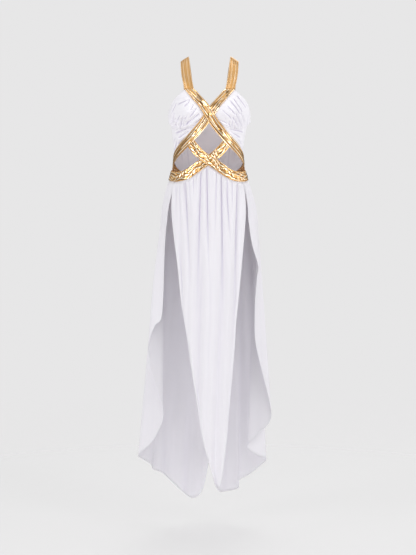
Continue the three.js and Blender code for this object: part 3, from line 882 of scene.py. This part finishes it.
# %% [markdown]
# ## The back skirt panels
# Each back panel starts at the slit on the hip and runs round to the centre back. Its front edge is
# cut in one curve with the hem, and falls in a cascade: the cloth folds to and fro, and the edge
# shows now its outer and now its inner face. A row of the table is one fold. Its place is a turn at
# the waist and the hip, then x and y at the thigh and the ankle, and the last column is where the
# cloth ends.

# %% Back panel tables
LEVEL = {"waist": -390, "hip": -440, "seat": -520, "thigh": -760, "ankle": -1280}
FOLD = "waist hip thigh_x thigh_y ankle_x ankle_y hem"
BACK_LEFT = table(
    FOLD,
    (-59.1, -58.5, -146, -76, -160, -70, -412),
    (-67, -66, -147, -68, -170, -62, -785),
    (-73, -73, -168, -56, -208, -50, -852),
    (-79, -80, -181, -42, -220, -34, -937),
    (-86, -87, -167, -24, -182, -14, -1040),
    (-92, -92, -146, -8, -148, 2, -1146),
    (-97, -97, -160, 12, -184, 18, -1230),
    (-103, -103, -183, 36, -231, 44, -1284),
    (-110, -110, -166, 58, -214, 72, -1304),
    (-118, -118, -161, 80, -190, 98, -1326),
    (-127, -127, -143, 92, -182, 130, -1350),
    (-137, -137, -125, 112, -152, 152, -1368),
    (-148, -148, -92, 122, -124, 190, -1402),
    (-159, -159, -62, 142, -80, 198, -1448),
    (-169, -169, -32, 143, -48, 222, -1474),
    (-176, -176, -12, 148, -20, 220, -1440),
    (-179.93, -179.93, -0.2, 148, -0.4, 222, -1336),
)
BACK_RIGHT = table(
    FOLD,
    (59.1, 51, 138, -76, 160, -70, -412),
    (66, 55, 148, -68, 170, -62, -570),
    (73, 68, 157, -54, 170, -48, -652),
    (80, 79, 148, -40, 150, -36, -705),
    (86, 87, 144, -24, 146, -20, -872),
    (92, 93, 157, -6, 177, -2, -990),
    (99, 99, 170, 14, 207, 18, -1150),
    (104, 104, 158, 34, 158, 36, -1212),
    (109, 109, 138, 50, 122, 52, -1258),
    (115, 115, 148, 68, 156, 66, -1290),
    (122, 122, 153, 86, 185, 92, -1308),
    (130, 130, 137, 96, 156, 130, -1346),
    (139, 139, 117, 116, 128, 158, -1376),
    (146, 146, 98, 118, 98, 172, -1398),
    (154, 154, 76, 134, 92, 192, -1430),
    (163, 163, 50, 142, 54, 204, -1444),
    (171, 171, 28, 145, 32, 222, -1450),
    (176, 176, 12, 148, 16, 220, -1420),
    (179.93, 179.93, 0.2, 148, 0.4, 222, -1336),
)
BACK_GATHERS = {"count": 13, "deep": 3.4, "long": 170}
BACK_PANEL_GRID = (240, 140)
BACK_CLOTH = {"gathers": 40, "gather": 1.6, "drape": 1.3, "wide": 300, "fringe": 0.04}


# %% Back panels
def between_levels(levels, z):
    """A smooth curve through the same points at four levels, one curve for each column of cloth."""
    heights = [LEVEL["hip"], LEVEL["seat"], LEVEL["thigh"], LEVEL["ankle"]]
    result = 0 * levels[0]
    for i in (1, 2):
        step = heights[i + 1] - heights[i]
        s = np.clip((z - heights[i]) / step, 0, 1)[..., None]
        slopes = []
        for j in (i, i + 1):
            a, b = max(j - 1, 0), min(j + 1, 3)
            slopes.append((levels[b] - levels[a]) / (heights[b] - heights[a]))
        curve = hermite(s, step, levels[i], levels[i + 1], *slopes)
        inside = (z <= heights[i]) & ((z > heights[i + 1]) | (i == 2))
        result = np.where(inside[..., None], curve, result)
    return result


def back_panel(rows, seed):
    rows = shared(rows)
    side = np.sign(rows["waist"][0])

    def place(u, v):
        share = u if side > 0 else 1 - u
        fold = along(rows, "share", share)
        top = waistline(fold["waist"])
        depth = depths(top, fold["hem"], v)
        z = top - depth

        def on_hip(height):
            settled = ease(-height, -LEVEL["waist"], -LEVEL["seat"])
            return on_form(mix(fold["waist"], fold["hip"], settled), height)

        high = on_hip(z)
        levels = [on_hip(0 * z + LEVEL[level])[..., :2] for level in ("hip", "seat")]
        for level in ("thigh", "ankle"):
            levels.append(np.stack([fold[level + "_x"], fold[level + "_y"]], -1))
        hung = between_levels(levels, z)
        past = np.minimum(z - LEVEL["ankle"], 0) / (LEVEL["ankle"] - LEVEL["thigh"])
        hung = hung + past[..., None] * (levels[3] - levels[2])
        low = np.concatenate([hung, z[..., None]], -1)
        points = np.where((z < LEVEL["seat"])[..., None], low, high)
        wave = 0.5 - 0.5 * np.cos(2 * np.pi * BACK_GATHERS["count"] * share)
        gather = BACK_GATHERS["deep"] * wave * np.exp(-depth / BACK_GATHERS["long"])
        cloth = BACK_CLOTH
        gather = gather * ease(depth, 0, GATHER_START)
        gather = gather + cloth["gather"] * fine_gathers(share, depth, cloth["gathers"], seed)
        fringe = ease(np.minimum(share, 1 - share), 0, cloth["fringe"])
        drape = cloth["drape"] * long_drape(cloth["wide"] * share, depth, seed)
        return pushed(points, fold["waist"], gather + drape * fringe)

    return place


make_sheet("white_skirt_back_left", BACK_PANEL_GRID, back_panel(BACK_LEFT, 1.1))
make_sheet("white_skirt_back_right", BACK_PANEL_GRID, back_panel(BACK_RIGHT, 2.3))

# %% [markdown]
# ## Finishes
# Two cloths make this dress. The white is a soft matt stretch knit, nearly white, and the bottoms of its
# folds get a cool painted shade.
# The gold is the same kind of cloth under a thin foil, so it mirrors its surroundings in a crinkled way;
# the bottoms of its folds get a painted dark brown shade and its ridges a painted pale highlight.


# %% Nodes by name
def feed(tree, socket, value):
    """Gives an input a value, or links the output of another node to it."""
    if isinstance(value, bpy.types.NodeSocket):
        tree.links.new(value, socket)
    else:
        socket.default_value = value


def fill(tree, node, **values):
    """Sets a node's properties and inputs by name; underscores stand for the spaces of an input's name."""
    for name, value in values.items():
        if hasattr(node, name):
            setattr(node, name, value)
        else:
            feed(tree, node.inputs[name.replace("_", " ")], value)
    return node


def add(tree, kind, **values):
    return fill(tree, tree.nodes.new(kind), **values)


def add_group(tree, group, **values):
    return add(tree, "ShaderNodeGroup", node_tree=group, **values)


def times(tree, a, b, kind="ShaderNodeMath", **values):
    node = add(tree, kind, operation="MULTIPLY", **values)
    feed(tree, node.inputs[0], a)
    feed(tree, node.inputs[1], b)
    return node.outputs[0]


def blend(tree, factor, a, b, blend_type="MIX"):
    """A colour mix; the colour sockets of this node are its inputs 6 and 7 and its output 2."""
    node = add(tree, "ShaderNodeMix", data_type="RGBA", blend_type=blend_type)
    for number, value in ((0, factor), (6, a), (7, b)):
        feed(tree, node.inputs[number], value)
    return node.outputs[2]


def rgba(colour, gain=1.0):
    return (*(gain * channel for channel in colour), 1)


# %% Shared effects as node groups
KNIT = {"loops": 1400.0, "thread": 0.32, "wander": 1.5, "strength": 0.12, "height": 0.0002}


def new_group(name, inputs, outputs):
    """A node group with the sockets of its input and its output node."""
    group = bpy.data.node_groups.new(name, "ShaderNodeTree")
    for label, value in inputs.items():
        socket = group.interface.new_socket(label, in_out="INPUT", socket_type="NodeSocketFloat")
        socket.default_value = value
    for label in outputs:
        group.interface.new_socket(label, in_out="OUTPUT", socket_type="NodeSocketFloat")
    return group, group.nodes.new("NodeGroupInput").outputs, group.nodes.new("NodeGroupOutput").inputs


def make_knit_group():
    """Fine ribs of a jersey knit, read from the piece's own UV map in metres, as a height."""
    group, given, result = new_group("jersey_knit", {"Loops per metre": KNIT["loops"]}, ["Height"])
    uv = add(group, "ShaderNodeUVMap").outputs["UV"]
    scaled = add(group, "ShaderNodeVectorMath", operation="SCALE", Vector=uv, Scale=given["Loops per metre"])
    ribs = []
    for way in "XY":
        wave = add(group, "ShaderNodeTexWave", wave_type="BANDS", bands_direction=way)
        fill(group, wave, Vector=scaled.outputs[0], Scale=KNIT["thread"], Distortion=KNIT["wander"])
        ribs.append(wave.outputs["Fac"])
    feed(group, result["Height"], times(group, *ribs))
    return group


def make_mottle_group():
    """Slow soft change over the cloth, from Object coordinates, as a value between 0 and 1."""
    group, given, result = new_group("soft_mottle", {"Scale": 20.0}, ["Fac"])
    place = add(group, "ShaderNodeTexCoord").outputs["Object"]
    noise = add(group, "ShaderNodeTexNoise", Vector=place, Scale=given["Scale"], Detail=4.0, Roughness=0.6)
    feed(group, result["Fac"], noise.outputs["Fac"])
    return group


def make_painted_fold_light_group():
    """Two masks from the cloth's own valley attribute, for painted light: the bottoms of its folds, which
    take a painted shade, and their ridges, which take a painted highlight.
    """
    group, given, result = new_group("painted_fold_light_masks", {"Gain": 3.0}, ["Bottom", "Painted_ridge_highlight"])
    valley = add(group, "ShaderNodeAttribute", attribute_name="valley").outputs["Fac"]
    for label, sign in (("Bottom", 1), ("Painted_ridge_highlight", -1)):
        signed = times(group, valley, sign)
        feed(group, result[label], times(group, signed, given["Gain"], use_clamp=True))
    return group


knit_group = make_knit_group()
mottle_group = make_mottle_group()
painted_fold_light_group = make_painted_fold_light_group()

# %% The two cloths
# fold is a painted shade: the cool lilac that the bottoms of the white cloth's folds are painted with.
WHITE = {"dark": (0.85, 0.832, 0.88), "light": (0.88, 0.862, 0.905), "fold": (0.66, 0.62, 0.73)}
# For the foil, fold is a painted shade, dark brown in the bottoms of its folds, and ridge a painted
# highlight, pale on their ridges.
GOLD = {
    "dark": (0.9, 0.48, 0.15),
    "light": (0.97, 0.57, 0.21),
    "fold": (0.32, 0.12, 0.02),
    "ridge": (1.0, 0.88, 0.68),
    "glance": (1.0, 0.78, 0.52),
}


def new_material(name):
    material = bpy.data.materials.new(name)
    material.use_nodes = True
    return material, material.node_tree, material.node_tree.nodes["Principled BSDF"]


def make_white_cloth(name, painted_fold_shade_gain, pale):
    """White knit; painted_fold_shade_gain says how strongly the bottom of a fold takes the cool tint, a
    painted shade.
    """
    material, tree, shader = new_material(name)
    mottle = add_group(tree, mottle_group, Scale=9.0).outputs["Fac"]
    # pale scales this copy's whole colour lighter or darker: painted light, on the same knit as the other
    # copy.
    plain = blend(tree, mottle, rgba(WHITE["dark"], pale), rgba(WHITE["light"], pale))
    # The bottoms of the folds are painted the cool fold colour: painted shade.
    bottom = add_group(tree, painted_fold_light_group, Gain=painted_fold_shade_gain).outputs["Bottom"]
    colour = blend(tree, bottom, plain, rgba(WHITE["fold"]))
    knit = add_group(tree, knit_group).outputs["Height"]
    bump = add(tree, "ShaderNodeBump", Height=knit, Strength=KNIT["strength"], Distance=KNIT["height"])
    fill(tree, shader, Base_Color=colour, Normal=bump.outputs["Normal"], Roughness=0.85)
    fill(tree, shader, Specular_IOR_Level=0.25, Sheen_Weight=0.25, Sheen_Roughness=0.5)
    return material


def make_gold_foil(name, stretch, distance, rough, painted_shade_factor):
    """Foil on cloth; stretch is the number of its fine wrinkles per metre, along the band and across it, and
    painted_shade_factor scales its colour down as painted shade.
    """
    material, tree, shader = new_material(name)
    mottle = add_group(tree, mottle_group, Scale=60.0).outputs["Fac"]
    plain = blend(tree, mottle, rgba(GOLD["dark"], painted_shade_factor), rgba(GOLD["light"], painted_shade_factor))
    folds = add_group(tree, painted_fold_light_group, Gain=6.0).outputs
    # The bottoms of the foil's folds are painted dark brown and its ridges pale: a painted shade and a
    # painted highlight.
    shaded = blend(tree, folds["Bottom"], plain, rgba(GOLD["fold"]))
    with_painted_highlight = blend(tree, folds["Painted_ridge_highlight"], shaded, rgba(GOLD["ridge"]))
    dull = add(tree, "ShaderNodeMapRange", Value=mottle, To_Min=rough[0], To_Max=rough[1])
    uv = add(tree, "ShaderNodeUVMap").outputs["UV"]
    scaled = times(tree, uv, (*stretch, 1), "ShaderNodeVectorMath")
    wrinkle = add(tree, "ShaderNodeTexNoise", Vector=scaled, Scale=1.0, Detail=2.0, Distortion=0.5)
    bump = add(tree, "ShaderNodeBump", Height=wrinkle.outputs["Fac"], Strength=0.5, Distance=distance)
    normal = bump.outputs["Normal"]
    fill(tree, shader, Base_Color=with_painted_highlight, Roughness=dull.outputs["Result"], Normal=normal, Metallic=1.0)
    fill(tree, shader, Specular_Tint=rgba(GOLD["glance"]), Coat_Normal=normal)
    fill(tree, shader, Coat_Weight=0.3, Coat_IOR=1.5, Coat_Roughness=0.12)
    return material


# Both copies are the same white knit: the gathered one, on the bodice, is painted 8 per cent lighter and the
# hanging one, on the skirts, 2 per cent darker, as painted light, and the gathered one takes a stronger
# painted shade in its folds.
hanging_cloth = make_white_cloth("white_jersey_hanging", 1.5, 0.98)
gathered_cloth = make_white_cloth("white_jersey_gathered", 2.9, 1.08)
# The straps' foil is the same gold, rougher, with its colour painted 28 per cent darker: painted shade.
flat_foil = make_gold_foil("gold_foil_flat", (12, 150), 0.0003, (0.42, 0.54), 0.72)
smooth_foil = make_gold_foil("gold_foil_stretched", (10, 110), 0.00028, (0.07, 0.2), 1.0)
ruched_foil = make_gold_foil("gold_foil_ruched", (40, 60), 0.00042, (0.07, 0.2), 1.0)

# %% Dress every piece
# A piece is named after its cloth and then after the CAD node that it replaces.
SEWN = {
    "gold_cross_band_over": ("stretched", ["cup_left", "midriff_right"]),
    "gold_cross_band_under": ("stretched", ["cup_right", "midriff_left"]),
    "gold_waist_band_over": ("gathered", ["skirt_front", "skirt_back_right"]),
    "gold_waist_band_under": ("gathered", ["skirt_front", "skirt_back_left"]),
    "gold_neck_strap_left": ("stretched", ["cross_band_over", "back_bodice"]),
    "gold_neck_strap_right": ("stretched", ["cross_band_under", "back_bodice"]),
    "white_cup_left": ("gathered", ["cross_band_over", "midriff_left"]),
    "white_cup_right": ("gathered", ["cross_band_under", "midriff_right"]),
    "white_midriff_left": ("stretched", ["cup_left", "cross_band_under"]),
    "white_midriff_right": ("stretched", ["cup_right", "cross_band_over"]),
    "white_back_bodice": ("stretched", ["neck_strap_left", "neck_strap_right"]),
    "white_skirt_front": ("gathered", ["waist_band_over", "waist_band_under"]),
    "white_skirt_back_left": ("gathered", ["waist_band_under"]),
    "white_skirt_back_right": ("gathered", ["waist_band_over"]),
}
FINISH = {
    "strap": flat_foil,
    "cross": smooth_foil,
    "waist": ruched_foil,
    "skirt": hanging_cloth,
    "white": gathered_cloth,
}
for name, (held, rests_on) in SEWN.items():
    finish = next(finish for word, finish in FINISH.items() if word in name)
    pieces[name]["object"].data.materials.append(finish)
    declare(name)
print("dressed", len(SEWN), "pieces")

# %% [markdown]
# ## The studio
# The floor is a wide round sheet that fades out into the pale air, so no horizon shows from any
# side. A foil shows only what it mirrors, so the air that it mirrors has bright and dark bands one
# above another, and a dark and a pale card at the right. Soft boxes from both sides and in front
# light the cloth. A high one and a low one make the foil's highlights, one above lights the
# shoulders, and one behind keeps the back readable.

# %% Floor and air
FLOOR = {"height": -1.56, "radius": 3.4, "fade_from": 0.2, "fade_to": 0.9, "cover": 0.55}
PAPER = (0.87, 0.865, 0.868)
AIR = (0.8, 0.8 * 0.995, 0.8)  # what the camera sees behind the dress
AIR_GAIN = 1.12
# Brightness of the mirrored air: bands from straight below to straight above, and cards from the middle to
# the viewer's right.
AIR_BANDS = (
    (0, 0.7),
    (0.25, 0.75),
    (0.36, 0.7),
    (0.41, 0.15),
    (0.44, 0.5),
    (0.47, 0.2),
    (0.53, 0.2),
    (0.57, 0.65),
    (0.6, 0.25),
    (0.64, 0.7),
    (0.7, 0.75),
    (0.77, 0.2),
    (0.84, 0.8),
    (1, 0.7),
)
CARDS = (
    (0, 1),
    (0.16, 1),
    (0.24, 0.25),
    (0.42, 0.3),
    (0.5, 1),
    (0.75, 1),
    (0.95, 1.8),
    (1, 2.2),
)
bpy.context.scene.view_settings.view_transform = "Standard"


def make_floor():
    bm = bmesh.new()
    bmesh.ops.create_circle(bm, cap_ends=True, segments=96, radius=FLOOR["radius"])
    bmesh.ops.translate(bm, verts=bm.verts, vec=(0, 0, FLOOR["height"]))
    mesh = bpy.data.meshes.new("studio_floor")
    bm.to_mesh(mesh)
    bm.free()
    floor = bpy.data.objects.new("studio_floor", mesh)
    bpy.context.scene.collection.objects.link(floor)
    material, tree, shader = new_material("studio_paper")
    place = add(tree, "ShaderNodeTexCoord").outputs["Object"]
    flat = times(tree, place, (1, 1, 0), "ShaderNodeVectorMath")
    away = add(tree, "ShaderNodeVectorMath", operation="LENGTH", Vector=flat)
    fade = add(tree, "ShaderNodeMapRange", interpolation_type="SMOOTHSTEP", Value=away.outputs["Value"])
    fill(tree, fade, From_Min=FLOOR["fade_from"], From_Max=FLOOR["radius"] * FLOOR["fade_to"])
    fill(tree, fade, To_Min=FLOOR["cover"], To_Max=0.0)
    fill(tree, shader, Alpha=fade.outputs["Result"], Base_Color=rgba(PAPER), Roughness=0.95)
    mesh.materials.append(material)


def add_ramp(tree, place, rows, gain=1.0):
    """A grey ramp through rows of place and brightness; its own two stops are the first and the last row."""
    node = add(tree, "ShaderNodeValToRGB", Fac=place)
    stops = node.color_ramp.elements
    for at, level in rows:
        stop = stops[0] if at == 0 else stops[-1] if at == 1 else stops.new(at)
        stop.color = rgba([level] * 3, gain)
    return node.outputs["Color"]


def make_air():
    """Even and pale behind the dress; banded for what lights and mirrors see."""
    world = bpy.data.worlds.new("studio_air")
    world.use_nodes = True
    tree = world.node_tree
    place = add(tree, "ShaderNodeTexCoord").outputs["Generated"]
    split = add(tree, "ShaderNodeSeparateXYZ", Vector=place).outputs
    height = add(tree, "ShaderNodeMapRange", Value=split["Z"], From_Min=-1.0).outputs["Result"]
    bands = add_ramp(tree, height, AIR_BANDS, AIR_GAIN)
    mirrored = blend(tree, 1.0, bands, add_ramp(tree, split["X"], CARDS), "MULTIPLY")
    seen = add(tree, "ShaderNodeLightPath").outputs["Is Camera Ray"]
    fill(tree, tree.nodes["Background"], Color=blend(tree, seen, mirrored, rgba(AIR)))
    bpy.context.scene.world = world


make_floor()
make_air()
print("air bands:", len(AIR_BANDS), "and cards:", len(CARDS))

# %% Lights
CHEST = (0, 0, -0.5)
# The place of each soft box, its width and height in metres, and its power in watts.
LIGHTS = {
    "key_left": ((-3.0, -2.7, 0.5), 0.9, 1.8, 30),
    "front_left": ((-1.55, -4.4, 0.1), 1.6, 3.0, 16),
    "front_right": ((1.55, -4.4, 0.1), 1.6, 3.0, 12.5),
    "fill_right": ((3.2, -2.6, -0.3), 1.6, 2.0, 28),
    "high_right": ((1.9, -2.7, 2.4), 0.9, 1.2, 18),
    "low_left": ((-1.5, -3.2, -1.3), 1.3, 0.4, 8),
    "top": ((0.3, 0.2, 2.6), 1.6, 1.0, 14),
    "back": ((1.2, 3.4, 1.4), 2.0, 2.0, 26),
}
for name, (place, width, height, power) in LIGHTS.items():
    data = bpy.data.lights.new(name, "AREA")
    data.shape = "RECTANGLE"
    data.size = width
    data.size_y = height
    data.energy = power
    light = bpy.data.objects.new(name, data)
    light.location = place
    light.rotation_euler = (Vector(CHEST) - Vector(place)).to_track_quat("-Z", "Y").to_euler()
    bpy.context.scene.collection.objects.link(light)
print("soft boxes:", len(LIGHTS))
